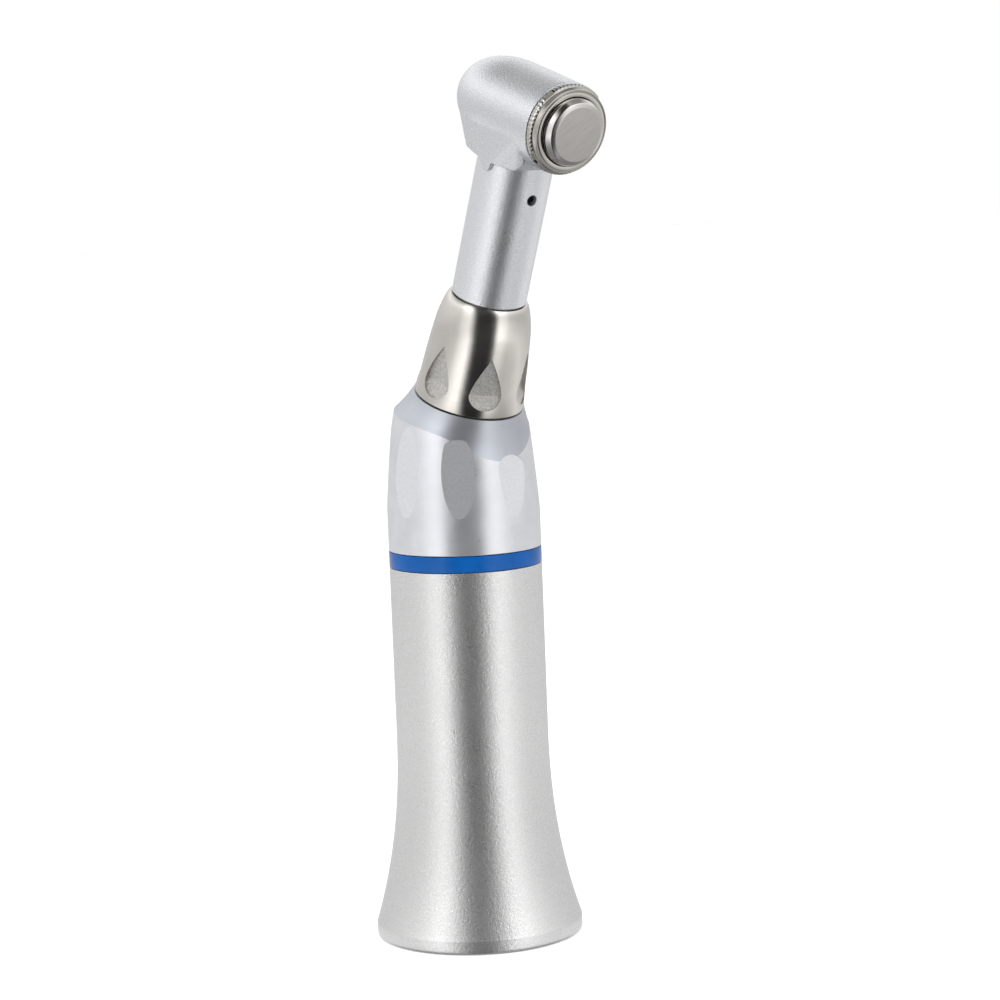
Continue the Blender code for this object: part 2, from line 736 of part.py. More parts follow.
make_rear_sheath()
make_blue_ring()
make_front_body()
make_body_seals_and_housing()
make_motor_socket()
make_rear_drive()
make_head_socket()
make_lock_collar()
make_neck()
make_head_shell()
make_cap_and_button()
make_chuck()
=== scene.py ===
"""Looks of the contra angle handpiece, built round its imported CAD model.

Shapes are modelled in millimetres and turned into metres when a piece is finished.
The handle stands on the origin along +Z, and the neck and head lean towards +X.
"""

import json
import math

import bmesh
import bpy
from mathutils import Euler, Matrix, Vector


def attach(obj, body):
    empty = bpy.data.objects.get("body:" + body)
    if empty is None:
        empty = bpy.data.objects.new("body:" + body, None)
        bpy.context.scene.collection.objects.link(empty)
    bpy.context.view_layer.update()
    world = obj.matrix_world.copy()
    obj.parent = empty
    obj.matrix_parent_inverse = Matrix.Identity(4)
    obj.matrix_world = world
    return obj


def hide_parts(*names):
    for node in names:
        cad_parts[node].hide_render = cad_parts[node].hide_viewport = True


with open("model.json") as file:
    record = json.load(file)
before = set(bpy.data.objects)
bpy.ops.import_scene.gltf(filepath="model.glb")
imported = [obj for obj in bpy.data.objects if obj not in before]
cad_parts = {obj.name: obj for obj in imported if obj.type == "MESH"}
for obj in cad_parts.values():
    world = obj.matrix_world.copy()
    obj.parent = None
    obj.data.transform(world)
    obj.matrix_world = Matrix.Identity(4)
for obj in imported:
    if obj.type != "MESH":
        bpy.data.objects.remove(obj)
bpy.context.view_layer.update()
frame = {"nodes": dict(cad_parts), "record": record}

MM = 0.001

# The CAD model's driving dimensions, in millimetres and radians
BODY_RADIUS = 7.73
RIM_RADIUS = 10.5
RIM_HEIGHT = 1.4
FLARE_HEIGHT = 21.0
FLARE_SPREAD = 3.23
FLARE_POWER = 2.25
RING_BOTTOM = 37.96
RING_TOP = 39.55
BARREL_START = 43.0
BARREL_CURVE = 0.0094
BEND_HEIGHT = 50.57
NECK_TILT = math.radians(22.2)
HEAD_TO_NECK = math.radians(85.5)
HEAD_TILT = NECK_TILT + HEAD_TO_NECK
NECK_RADIUS = 3.73
HEAD_RADIUS = 4.47
HEAD_ALONG_NECK = 34.93
COLLAR_BOTTOM = 4.75
COLLAR_TOP = 15.6
COLLAR_TURN = math.radians(35)
CHAMFER_TOP = 4.65
CHAMFER_RADIUS = 5.66
CHAMFER_SLOPE = 0.36
CHAMFER_CURVE = 0.05
SEAT_RADIUS = 5.5
SEAT_DEPTH = 0.22
BUTTON_FACE = 8.68
FIT = 0.1
SHEATH_BORE = 6.7
SPIGOT_RADIUS = 6.88
RING_BORE = SPIGOT_RADIUS + FIT
HOUSING_BORE = 4.3
GEAR_CHAMBER = 3.7
HEAD_SOCKET_RADIUS = 3.85
NECK_SPIGOT_RADIUS = 3.3
NECK_BORE = 2.55
HEAD_CAVITY = 3.7
CAP_THREAD_BORE = 3.95
RECESSES = 6
FIRST_RECESS = math.radians(-20)
FLATS = 8
FIRST_FLAT = math.radians(7.5)
FLAT_FOOT = 43.3
FLAT_LEAN = math.radians(5.2)
FLAT_HALF_WIDTH = 2.0
FLAT_PAST_CHAMFER = 0.5

# Mesh fineness
ROUND = 256
SMALL_ROUND = 96
FILLET_STEPS = 4
EDGE = 0.08
SHARP_ANGLE = math.radians(32)
FACET_ANGLE = math.radians(9)

# The camera: its place, lens and sensor in millimetres, and where it stands from what it looks at
CAMERA_PLACE = Vector((241.083, -165.692, 76.613))
CAMERA_AZIMUTH = math.radians(-35.227)
CAMERA_ELEVATION = math.radians(6.319)
CAMERA_ROLL = math.radians(-2.206)
CAMERA_LENS = 104.817
CAMERA_SENSOR = 36.0


def axis_frame(height, tilt):
    """The frame of a working axis that starts on the neck axis, that far from the bend."""
    along = Vector((math.sin(NECK_TILT), 0, math.cos(NECK_TILT))) * height
    return Matrix.Translation(Vector((0, 0, BEND_HEIGHT)) + along) @ Matrix.Rotation(tilt, 4, "Y")


BODY = Matrix.Identity(4)
NECK = axis_frame(0, NECK_TILT)
NECK_AT_HEAD = axis_frame(HEAD_ALONG_NECK, NECK_TILT)
HEAD = axis_frame(HEAD_ALONG_NECK, HEAD_TILT)


# Modelling


def from_bmesh(name, shape, axis):
    """A working object in millimetres, placed by its axis, with its faces pointing out."""
    bmesh.ops.recalc_face_normals(shape, faces=shape.faces)
    if shape.calc_volume(signed=True) < 0:
        bmesh.ops.reverse_faces(shape, faces=shape.faces)
    mesh = bpy.data.meshes.new(name)
    shape.to_mesh(mesh)
    shape.free()
    obj = bpy.data.objects.new(name, mesh)
    bpy.context.scene.collection.objects.link(obj)
    obj.matrix_world = axis
    return obj


def arc(middle, radius, start, end, steps):
    """Points on a circle in the (radius, height) plane, angles from the outward direction."""
    angles = [start + (end - start) * i / steps for i in range(steps + 1)]
    return [(middle[0] + radius * math.cos(a), middle[1] + radius * math.sin(a)) for a in angles]


def fillet(before, corner, after, radius):
    """The points of an arc that rounds a corner."""
    here = Vector(corner)
    back, on = (Vector(before) - here).normalized(), (Vector(after) - here).normalized()
    half = back.angle(on) / 2
    middle = here + (back + on).normalized() * radius / math.sin(half)
    start = here + back * radius / math.tan(half) - middle
    end = here + on * radius / math.tan(half) - middle
    first = math.atan2(start.y, start.x)
    sweep = (math.atan2(end.y, end.x) - first + math.pi) % math.tau - math.pi
    return arc(middle, radius, first, first + sweep, FILLET_STEPS)


def softened(outline):
    """A (radius, height) outline in which a point with a third value is rounded by that radius."""
    points = []
    for i, point in enumerate(outline):
        if len(point) == 2:
            points.append(point)
        else:
            before, after = outline[i - 1][:2], outline[(i + 1) % len(outline)][:2]
            points += fillet(before, point[:2], after, point[2])
    return points


def turned(name, outline, axis, steps=ROUND):
    """Turns an outline about the axis: a ring, or a solid that starts and ends at radius 0."""
    shape = bmesh.new()
    points = [shape.verts.new((radius, 0, height)) for radius, height in softened(outline)]
    edges = [shape.edges.new(pair) for pair in zip(points, points[1:])]
    if outline[0][0] > 0:
        edges.append(shape.edges.new((points[-1], points[0])))
    bmesh.ops.spin(
        shape,
        geom=points + edges,
        axis=(0, 0, 1),
        cent=(0, 0, 0),
        angle=math.tau,
        steps=steps,
        use_merge=True,
    )
    bmesh.ops.remove_doubles(shape, verts=shape.verts, dist=0.0005)
    return from_bmesh(name, shape, axis)


def lofted(name, rings, axis):
    """A closed body through rings of points, with a flat face on the first and on the last."""
    shape = bmesh.new()
    rows = [[shape.verts.new(point) for point in ring] for ring in rings]
    count = len(rows[0])
    for low, high in zip(rows, rows[1:]):
        for i in range(count):
            j = (i + 1) % count
            shape.faces.new((low[i], low[j], high[j], high[i]))
    shape.faces.new(rows[0])
    shape.faces.new(rows[-1])
    bmesh.ops.triangulate(shape, faces=shape.faces)
    return from_bmesh(name, shape, axis)


def rod(name, radius, bottom, top, axis, steps=SMALL_ROUND):
    return turned(name, [(0, top), (radius, top), (radius, bottom), (0, bottom)], axis, steps)


def wedge(name, corners, axis):
    """The smallest convex block round some corners."""
    shape = bmesh.new()
    for corner in corners:
        shape.verts.new(corner)
    hull = bmesh.ops.convex_hull(shape, input=shape.verts)
    bmesh.ops.delete(shape, geom=list(set(hull["geom_interior"])), context="VERTS")
    return from_bmesh(name, shape, axis)


def box(name, size, middle, azimuth, axis):
    shape = bmesh.new()
    place = Matrix.Rotation(azimuth, 4, "Z") @ Matrix.Translation(middle)
    bmesh.ops.create_cube(shape, size=1.0, matrix=place @ Matrix.Diagonal((*size, 1)))
    return from_bmesh(name, shape, axis)


def combine(obj, other, operation="DIFFERENCE", solver="EXACT"):
    """Joins or cuts at once, and removes the other object."""
    boolean = obj.modifiers.new(other.name, "BOOLEAN")
    boolean.operation = operation
    boolean.object = other
    boolean.solver = solver
    settle(obj)
    bpy.data.objects.remove(other)
    return obj


def settle(obj):
    """Applies the modifiers of a working object."""
    bpy.context.view_layer.update()
    graph = bpy.context.evaluated_depsgraph_get()
    obj.data = bpy.data.meshes.new_from_object(obj.evaluated_get(graph))
    obj.data.materials.clear()
    obj.modifiers.clear()


def finished(obj, body, node, materials, sharp=SHARP_ANGLE):
    """Moves a working object into the frame, in metres, gives it its looks, hangs it on its body, and hides
    the CAD node that it stands in for.
    """
    obj.data.transform(Matrix.Scale(MM, 4) @ obj.matrix_world)
    obj.matrix_world = Matrix.Identity(4)
    for material in materials:
        obj.data.materials.append(material)
    obj.data.shade_smooth()
    obj.data.set_sharp_from_angle(angle=sharp)
    crisp_borders(obj)
    weighting = obj.modifiers.new("weighting", "WEIGHTED_NORMAL")
    weighting.keep_sharp = True
    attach(obj, body)
    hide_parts(node)
    return obj


def mark_faces(obj, index, wanted):
    """Gives that material to the faces whose centre and normal, in the piece's axis frame, pass a test."""
    for face in obj.data.polygons:
        if wanted(face.center, face.normal):
            face.material_index = index


def crisp_borders(obj):
    """Makes the edges sharp where one material meets another."""
    mesh = obj.data
    sides = {}
    for face in mesh.polygons:
        for key in face.edge_keys:
            sides.setdefault(key, set()).add(face.material_index)
    for edge in mesh.edges:
        if len(sides[edge.key]) > 1:
            edge.use_edge_sharp = True


# Shell pieces


def flare_radius(height):
    reach = max(0.0, (FLARE_HEIGHT - height) / FLARE_HEIGHT)
    return BODY_RADIUS + FLARE_SPREAD * reach**FLARE_POWER


def barrel_radius(height):
    return BODY_RADIUS - BARREL_CURVE * max(0.0, height - BARREL_START) ** 2


def make_rear_sheath():
    steps = 40
    top = RING_BOTTOM - 0.06
    heights = [FLARE_HEIGHT - (FLARE_HEIGHT - RIM_HEIGHT - 0.1) * i / steps for i in range(steps + 1)]
    outside = [(BODY_RADIUS, top, EDGE)] + [(flare_radius(z), z) for z in heights]
    rim = [(RIM_RADIUS, RIM_HEIGHT, 0.2), (RIM_RADIUS, 0.0, 0.42), (9.0, 0.0, 0.2)]
    mouth = [(8.6, 0.45, 0.3), (8.3, 6.4, 0.3), (SHEATH_BORE, 8.2, 0.1)]
    thread = [(SHEATH_BORE, 27.6), (RING_BORE, 27.9), (RING_BORE, top, EDGE)]
    sheath = turned("rear_sheath_shell", outside + rim + mouth + thread, BODY)
    finished(sheath, "root", "rear_sheath", [sheath_metal()])


def make_blue_ring():
    outline = [
        (BODY_RADIUS, RING_TOP, 0.06),
        (BODY_RADIUS, RING_BOTTOM, 0.06),
        (RING_BORE, RING_BOTTOM),
        (RING_BORE, RING_TOP),
    ]
    ring = turned("blue_colour_ring", outline, BODY)
    finished(ring, "root", "blue_ring", [ring_blue()])


def chamfer_radius(height):
    """The front body's slanting top, round the neck axis: nearly a cone, a little rounded."""
    drop = CHAMFER_TOP - height
    return CHAMFER_RADIUS + CHAMFER_SLOPE * drop + CHAMFER_CURVE * drop**2


def body_point(azimuth, radius, height):
    return Vector((radius * math.cos(azimuth), radius * math.sin(azimuth), height))


def barrel_point(azimuth, height):
    return body_point(azimuth, barrel_radius(height), height)


def beyond_the_chamfer(azimuth, height):
    spot = NECK.inverted() @ barrel_point(azimuth, height)
    return spot.z > CHAMFER_TOP or spot.xy.length > chamfer_radius(spot.z)


def chamfer_edge(azimuth):
    """The height at which the barrel first meets the chamfer, found by stepping up and then halving."""
    step = 0.25
    low = BARREL_START
    while not beyond_the_chamfer(azimuth, low + step):
        low += step
    high = low + step
    for _ in range(20):
        middle = (low + high) / 2
        if beyond_the_chamfer(azimuth, middle):
            high = middle
        else:
            low = middle
    return low


def spigot_rings(azimuths):
    """The outside from its foot up: the spigot with its seal groove, and the barrel's straight start."""
    outline = [
        (0, 28.2),
        (SPIGOT_RADIUS, 28.2, 0.2),
        (SPIGOT_RADIUS, 30.45),
        (6.25, 30.45),
        (6.25, 31.75),
        (SPIGOT_RADIUS, 31.75),
        (SPIGOT_RADIUS, RING_TOP + 0.06),
        (BODY_RADIUS, RING_TOP + 0.06, EDGE),
        (BODY_RADIUS, BARREL_START),
    ]
    rings = []
    for radius, height in softened(outline)[1:]:
        rings.append([body_point(azimuth, radius, height) for azimuth in azimuths])
    return rings


def barrel_rings(azimuths):
    steps = 24
    edges = [chamfer_edge(azimuth) for azimuth in azimuths]
    rings = []
    for k in range(1, steps + 1):
        heights = [BARREL_START + (edge - BARREL_START) * k / steps for edge in edges]
        rings.append([barrel_point(azimuth, height) for azimuth, height in zip(azimuths, heights)])
    return rings


def neck_point(spot, radius, height):
    """The point at that radius and height round the neck axis, in a spot's direction."""
    return NECK @ Vector((*(spot.xy.normalized() * radius), height))


def chamfer_rings(barrel_top):
    """From the barrel's top ring over the chamfer and down onto the collar's seat."""
    steps = 12
    spots = [NECK.inverted() @ point for point in barrel_top]
    rings = []
    for k in range(1, steps + 1):
        ring = []
        for spot in spots:
            height = spot.z + (CHAMFER_TOP - spot.z) * k / steps
            ring.append(neck_point(spot, chamfer_radius(height), height))
        rings.append(ring)
    rings.append([neck_point(spot, SEAT_RADIUS + 0.05, CHAMFER_TOP) for spot in spots])
    rings.append([neck_point(spot, SEAT_RADIUS, CHAMFER_TOP - SEAT_DEPTH) for spot in spots])
    return rings


def make_front_body():
    azimuths = [math.tau * i / ROUND for i in range(ROUND)]
    barrel = barrel_rings(azimuths)
    body = lofted("front_body_shell", spigot_rings(azimuths) + barrel + chamfer_rings(barrel[-1]), BODY)
    cutters = []
    for i in range(FLATS):
        cutters += flat_cutters(i)
    cutters.append(rod("housing_cut", HOUSING_BORE, 27.0, 47.9, BODY))
    cutters.append(rod("gear_chamber_cut", GEAR_CHAMBER, 47.8, BEND_HEIGHT + 0.4, BODY))
    cutters.append(rod("head_socket_cut", HEAD_SOCKET_RADIUS + FIT, -0.9, 7.0, NECK))
    for cutter in cutters:
        combine(body, cutter, solver="MANIFOLD")
    mark_faces(body, 1, on_a_flat)
    # The chamfer's faces get a darker copy of the barrel's metal: painted shade for the chamfer band.
    mark_faces(body, 2, on_the_chamfer)
    materials = [barrel_metal(), milled_flat_metal(), chamfer_painted_shade_metal()]
    finished(body, "root", "front_body", materials, FACET_ANGLE)


def flat_azimuth(index):
    return FIRST_FLAT + index * math.tau / FLATS


def flat_frame(index):
    """The frame of one milled flat: X points out of it, and Z up along it from its foot."""
    foot = Matrix.Translation((BODY_RADIUS, 0, FLAT_FOOT))
    return Matrix.Rotation(flat_azimuth(index), 4, "Z") @ foot @ Matrix.Rotation(-FLAT_LEAN, 4, "Y")


def flat_cutters(index):
    """A block for one flat, with a round end that stops just past where the chamfer starts."""
    thick, low = 3.0, -1.3
    flat = flat_frame(index)
    end = chamfer_edge(flat_azimuth(index)) + FLAT_PAST_CHAMFER - FLAT_FOOT - FLAT_HALF_WIDTH
    size = (thick, 2 * FLAT_HALF_WIDTH, end - low)
    block = box(f"flat_{index}", size, (thick / 2, 0, (low + end) / 2), 0.0, flat)
    outwards = flat @ Matrix.Translation((0, 0, end)) @ Matrix.Rotation(math.pi / 2, 4, "Y")
    return [block, rod(f"flat_end_{index}", FLAT_HALF_WIDTH, 0.0, thick, outwards)]


def on_a_flat(centre, normal):
    for i in range(FLATS):
        place = flat_frame(i)
        if normal.dot(place.col[0].xyz) > 0.9999 and abs((place.inverted() @ centre).x) < 0.01:
            return True
    return False


def on_the_chamfer(centre, _normal):
    """Whether a face of the outside lies nearer to the chamfer than to the barrel."""
    spot = NECK.inverted() @ centre
    from_chamfer = abs(spot.xy.length - chamfer_radius(spot.z))
    from_barrel = abs(centre.xy.length - barrel_radius(centre.z))
    return centre.z > BARREL_START and from_chamfer < min(0.02, from_barrel)


def make_lock_collar():
    outside = [
        (3.86, COLLAR_TOP, 0.06),
        (4.08, 15.3),
        (4.22, 14.97),
        (4.34, 14.6),
        (4.47, 14.15),
        (4.6, 13.6),
        (4.71, 13.07),
        (4.8, 12.5),
        (4.9, 11.6),
        (5.02, 10.4),
        (5.3, 7.0),
        (5.55, COLLAR_BOTTOM, 0.12),
    ]
    inside = [
        (3.98, COLLAR_BOTTOM),
        (3.98, 9.9),
        (4.22, 9.9),
        (4.22, 10.5),
        (3.98, 10.5),
        (3.98, 13.15),
        (3.46, 13.15),
        (3.46, COLLAR_TOP - 0.35),
        (3.62, COLLAR_TOP),
    ]
    collar = turned("lock_collar_shell", outside + inside, NECK)
    for i in range(RECESSES):
        combine(collar, recess_cutter(i))
    combine(collar, stop_slot_cutter())
    mark_faces(collar, 1, in_a_recess)
    materials = [collar_metal(), recess_metal()]
    finished(collar, "lock_collar", "lock_collar", materials, math.radians(14))


RECESS_TIP = 10.9
RECESS_WIDEST = 6.95
RECESS_FOOT = 5.55
RECESS_HALF_WIDTH = 1.66
RECESS_FLOOR_TIP = 4.9
RECESS_FLOOR = 4.67
RECESS_FLOOR_FOOT = 5.27


def recess_outline():
    """One side of the teardrop as (across, up, floor) points, from its tip down to its foot."""
    upper, lower = 14, 10
    points = []
    for i in range(upper):
        rise = 1 - i / upper
        up = RECESS_WIDEST + (RECESS_TIP - RECESS_WIDEST) * rise
        floor = RECESS_FLOOR + (RECESS_FLOOR_TIP - RECESS_FLOOR) * rise
        points.append((RECESS_HALF_WIDTH * (1 - rise**1.4), up, floor))
    for i in range(lower + 1):
        turn = math.pi / 2 * i / lower
        drop = math.sin(turn)
        up = RECESS_WIDEST - (RECESS_WIDEST - RECESS_FOOT) * drop
        floor = RECESS_FLOOR + (RECESS_FLOOR_FOOT - RECESS_FLOOR) * drop
        points.append((RECESS_HALF_WIDTH * math.cos(turn), up, floor))
    return points


def recess_cutter(index):
    """A teardrop with two flat facets for its floor, which meet across its widest part."""
    side = recess_outline()
    widest = max(range(len(side)), key=lambda i: side[i][0])
    ring = side + [(-across, up, floor) for across, up, floor in reversed(side[1:-1])]
    shape = bmesh.new()
    low = [shape.verts.new((floor, across, up)) for across, up, floor in ring]
    high = [shape.verts.new((7.0, across, up)) for across, up, floor in ring]
    count = len(ring)
    for i in range(count):
        shape.faces.new((low[i], low[(i + 1) % count], high[(i + 1) % count], high[i]))
    shape.faces.new(high)
    mirror = count - widest
    shape.faces.new(low[widest : mirror + 1])
    shape.faces.new(low[mirror:] + low[: widest + 1])
    turn = Matrix.Rotation(FIRST_RECESS + index * math.tau / RECESSES, 4, "Z")
    return from_bmesh(f"recess_{index}", shape, NECK @ turn)


def in_a_recess(centre, normal):
    azimuth = math.atan2(centre.y, centre.x) - FIRST_RECESS
    nearest = FIRST_RECESS + round(azimuth * RECESSES / math.tau) * math.tau / RECESSES
    outwards = Vector((math.cos(nearest), math.sin(nearest), 0))
    return (
        RECESS_FOOT - 0.05 < centre.z < RECESS_TIP + 0.05
        and RECESS_FLOOR - 0.02 < centre.dot(outwards) < RECESS_FLOOR_FOOT + 0.02
        and abs(normal.cross(outwards).dot((0, 0, 1))) < 0.02
        and normal.dot(outwards) > 0.9
    )


def stop_slot_cutter():
    slack = math.radians(7)
    start, sweep, steps = math.pi - COLLAR_TURN - slack, COLLAR_TURN + 2 * slack, 24
    shape = bmesh.new()
    corners = [(3.8, 11.2), (4.42, 11.2), (4.42, 12.2), (3.8, 12.2)]
    across = Vector((math.cos(start), math.sin(start), 0))
    up = Vector((0, 0, 1))
    points = [shape.verts.new(across * radius + up * height) for radius, height in corners]
    face = shape.faces.new(points)
    geometry = [face, *face.edges, *face.verts]
    bmesh.ops.spin(shape, geom=geometry, axis=up, cent=(0, 0, 0), angle=sweep, steps=steps)
    return from_bmesh("stop_slot", shape, NECK)


def make_neck_tube():
    outline = [
        (NECK_RADIUS, 31.0),
        (NECK_RADIUS, COLLAR_TOP + 0.12, EDGE),
        (NECK_SPIGOT_RADIUS, COLLAR_TOP + 0.12),
        (NECK_SPIGOT_RADIUS, 9.3),
        (2.95, 9.3),
        (2.95, 8.7),
        (NECK_SPIGOT_RADIUS, 8.7),
        (NECK_SPIGOT_RADIUS, 2.7, 0.2),
        (NECK_BORE, 2.7, 0.1),
        (NECK_BORE, 31.0),
    ]
    neck = turned("neck_tube_shell", outline, NECK)
    sideways = Matrix.Translation((0, 0, 27.1)) @ Matrix.Rotation(math.pi / 2, 4, "Y")
    hole = [(0, 5.0), (0.62, 5.0), (0.56, 3.68), (0.53, 3.6), (0.53, 2.0), (0, 2.0)]
    combine(neck, turned("screw_hole", hole, NECK @ sideways, 48))
    finished(neck, "head", "neck_tube", [neck_metal()])


# Head

NOSE_START = 1.6
NOSE_LENGTH = 7.1
NOSE_CUT = 0.925
NOSE_BLUNTNESS = 0.36
SADDLE_DEPTH = 4.87
SADDLE_ROUNDING = 1.87
SADDLE_ROUND_START = 3.4
LOBE_RADIUS = 0.85
LOBE_REACH = 3.98
LOBE_PLACE = (0.45, 0, -5.0)
HEAD_VOXEL = 0.09
HEAD_SMOOTHING = 6


def nose_outline():
    """The head's blunt end towards the bur, a little fuller than an ellipse."""
    steps = 24
    shares = [NOSE_CUT * math.sin(math.pi / 2 * i / steps) for i in range(steps + 1)]
    radii = [HEAD_RADIUS * (1 - share**2) ** NOSE_BLUNTNESS for share in shares]
    return [(radius, -NOSE_START - NOSE_LENGTH * share) for radius, share in zip(radii, shares)]


def saddle_corners():
    """Corners of the saddle as (below the head's axis, across, along it), rounded at the cap's end."""
    bottom = [(-5.6, 1.2), (-4.95, 2.8), (-3.9, 3.15), (-2.2, 3.65), (-0.6, 3.95), (1.0, 3.95), (2.2, 3.75)]
    corners = [(SADDLE_DEPTH, across, height) for height, across in bottom]
    steps = 16
    for i in range(steps + 1):
        turn = math.pi / 2 * i / steps
        depth = SADDLE_DEPTH - SADDLE_ROUNDING * (1 - math.cos(turn))
        height = SADDLE_ROUND_START + SADDLE_ROUNDING * math.sin(turn)
        corners.append((depth, 3.45 - 0.45 * i / steps, height))
    sides = [(1.6, 3.0, -6.75), (2.2, 1.5, -7.3), (1.2, 4.1, -4.0), (1.2, 4.25, 3.0), (1.0, 4.2, 5.0)]
    return [(depth, side * across, height) for side in (-1, 1) for depth, across, height in corners + sides]


def make_head_shell():
    nose = nose_outline()
    outside = [(0, 6.38), (HEAD_RADIUS, 6.38), *nose, (0, nose[-1][1])]
    shell = turned("head_shell_casting", outside, HEAD)
    combine(shell, wedge("saddle", saddle_corners(), HEAD), "UNION")
    lobe_axis = NECK_AT_HEAD @ Matrix.Translation(LOBE_PLACE) @ Matrix.Rotation(math.pi / 2, 4, "X")
    combine(shell, rod("lobes", LOBE_RADIUS, -LOBE_REACH, LOBE_REACH, lobe_axis), "UNION")
    remesh = shell.modifiers.new("skin", "REMESH")
    remesh.mode = "VOXEL"
    remesh.voxel_size = HEAD_VOXEL
    smoothing = shell.modifiers.new("cast edges", "SMOOTH")
    smoothing.factor = 0.5
    smoothing.iterations = HEAD_SMOOTHING
    settle(shell)
    cavity = [
        (0, 7.0),
        (CAP_THREAD_BORE, 7.0),
        (CAP_THREAD_BORE, 5.25),
        (HEAD_CAVITY, 5.25),
        (HEAD_CAVITY, -4.5),
        (3.3, -4.5),
        (3.3, -6.45),
        (1.95, -6.45),
        (1.95, -9.5),
        (0, -9.5),
    ]
    combine(shell, turned("head_cavity", cavity, HEAD, SMALL_ROUND))
    seat = box("cap_seat", (12.0, 12.0, 2.0), (0, 0, 7.36), 0.0, HEAD)
    combine(shell, seat)
    port = [
        (0, -0.9),
        (3.0, -0.9),
        (3.0, -3.88),
        (NECK_RADIUS + 0.03, -3.88),
        (NECK_RADIUS + 0.03, -7.0),
        (0, -7.0),
    ]
    combine(shell, turned("neck_port", port, NECK_AT_HEAD))
    finished(shell, "head", "head_shell", [head_metal()])


SERRATIONS = 64
SERRATION_DEPTH = 0.04
SPANNER_NOTCHES = 4
FIRST_NOTCH = math.radians(38)


def make_cap_ring():
    outline = [
        (3.4, 7.6, 0.03),
        (3.8, 7.6, 0.05),
        (3.84, 7.42, 0.04),
        (3.92, 7.42, 0.04),
        (3.96, 7.56, 0.05),
        (4.08, 7.52, 0.06),
        (4.14, 7.08, 0.08),
        (4.36, 7.0, 0.06),
        (4.44, 6.84, 0.04),
        (4.44, 6.46, 0.05),
        (CAP_THREAD_BORE - FIT, 6.46),
        (CAP_THREAD_BORE - FIT, 5.3),
        (3.62, 5.3),
        (3.62, 7.0),
        (3.4, 7.05),
    ]
    cap = turned("cap_ring_turned", outline, HEAD, SERRATIONS * 6)
    for point in cap.data.vertices:
        if point.co.xy.length > 4.34:
            wave = math.cos(SERRATIONS * math.atan2(point.co.y, point.co.x))
            point.co.xy *= 1 - SERRATION_DEPTH / HEAD_RADIUS * (0.5 + 0.5 * wave)
    for i in range(SPANNER_NOTCHES):
        azimuth = FIRST_NOTCH + i * math.tau / SPANNER_NOTCHES
        combine(cap, box(f"spanner_notch_{i}", (1.1, 1.2, 1.1), (4.78, 0, 7.18), azimuth, HEAD))
    finished(cap, "head", "cap_ring", [polished_metal()])


def make_push_button():
    outline = [
        (0, BUTTON_FACE),
        (2.62, BUTTON_FACE, 0.08),
        (3.02, 8.5, 0.3),
        (3.3, 8.02, 0.3),
        (3.35, 6.85, 0.04),
        (3.5, 6.82),
        (3.5, 6.23),
        (2.66, 6.23),
        (2.66, 7.6),
        (0, 7.6),
    ]
    button = turned("push_button_turned", outline, HEAD)
    mark_faces(button, 1, lambda centre, normal: normal.z > 0.99 and centre.z > BUTTON_FACE - 0.02)
    materials = [button_side_metal(), button_face_metal()]
    finished(button, "push_button", "push_button", materials)


# Materials


def add(tree, kind, inputs=None, **settings):
    """A new node. An input given as a socket is linked to it, and any other value is set on it."""
    made = tree.nodes.new("ShaderNode" + kind)
    for name, value in settings.items():
        setattr(made, name, value)
    for name, value in (inputs or {}).items():
        if isinstance(value, bpy.types.NodeSocket):
            tree.links.new(value, made.inputs[name])
        else:
            made.inputs[name].default_value = value
    return made


def new_material(name, metallic):
    material = bpy.data.materials.new(name)
    material.use_nodes = True
    shader = material.node_tree.nodes["Principled BSDF"]
    shader.inputs["Metallic"].default_value = metallic
    return material, material.node_tree, shader


def millimetres(tree, axis=BODY, stretch=(1, 1, 1)):
    """The place on the piece in an axis frame, in millimetres, divided by a stretch."""
    place = add(tree, "TexCoord").outputs["Object"]
    scaled = add(tree, "VectorMath", {0: place, "Scale": 1 / MM}, operation="SCALE").outputs[0]
    inputs = {
        "Vector": scaled,
        "Location": axis.to_translation(),
        "Rotation": axis.to_euler(),
        "Scale": stretch,
    }
    return add(tree, "Mapping", inputs, vector_type="TEXTURE").outputs[0]


def maths(tree, operation, *values):
    """The result of a Math node on sockets or numbers."""
    return add(tree, "Math", dict(enumerate(values)), operation=operation).outputs[0]


def around(tree, axis, lengthwise):
    """Coordinates that vary fast along the axis and outwards but slowly round it, for turning marks."""
    x, y, z = add(tree, "SeparateXYZ", {0: millimetres(tree, axis)}).outputs
    squares = [maths(tree, "POWER", side, 2.0) for side in (x, y)]
    radius = maths(tree, "SQRT", maths(tree, "ADD", *squares))
    azimuth = maths(tree, "ARCTAN2", y, x)
    inputs = {
        0: maths(tree, "MULTIPLY", radius, lengthwise),
        1: maths(tree, "MULTIPLY", z, lengthwise),
        2: maths(tree, "MULTIPLY", azimuth, 0.4),
    }
    return add(tree, "CombineXYZ", inputs).outputs[0]


def noise(tree, place, scale, detail=2.0, roughness=0.5):
    inputs = {"Vector": place, "Scale": scale, "Detail": detail, "Roughness": roughness}
    return add(tree, "TexNoise", inputs).outputs["Fac"]


def spread(tree, value, low, high):
    """A noise value's middle range turned into a range from low to high."""
    inputs = {"Value": value, "From Min": 0.3, "From Max": 0.7, "To Min": low, "To Max": high}
    return add(tree, "MapRange", inputs).outputs[0]


def tone(tree, value, colour, dark, light):
    """A colour made darker and lighter by a noise value."""
    mix = add(tree, "Mix", data_type="RGBA")
    tree.links.new(spread(tree, value, 0.0, 1.0), mix.inputs["Factor"])
    for socket, level in zip(mix.inputs[6:8], (dark, light)):
        socket.default_value = (*(min(1.0, part * level) for part in colour), 1.0)
    return mix.outputs[2]


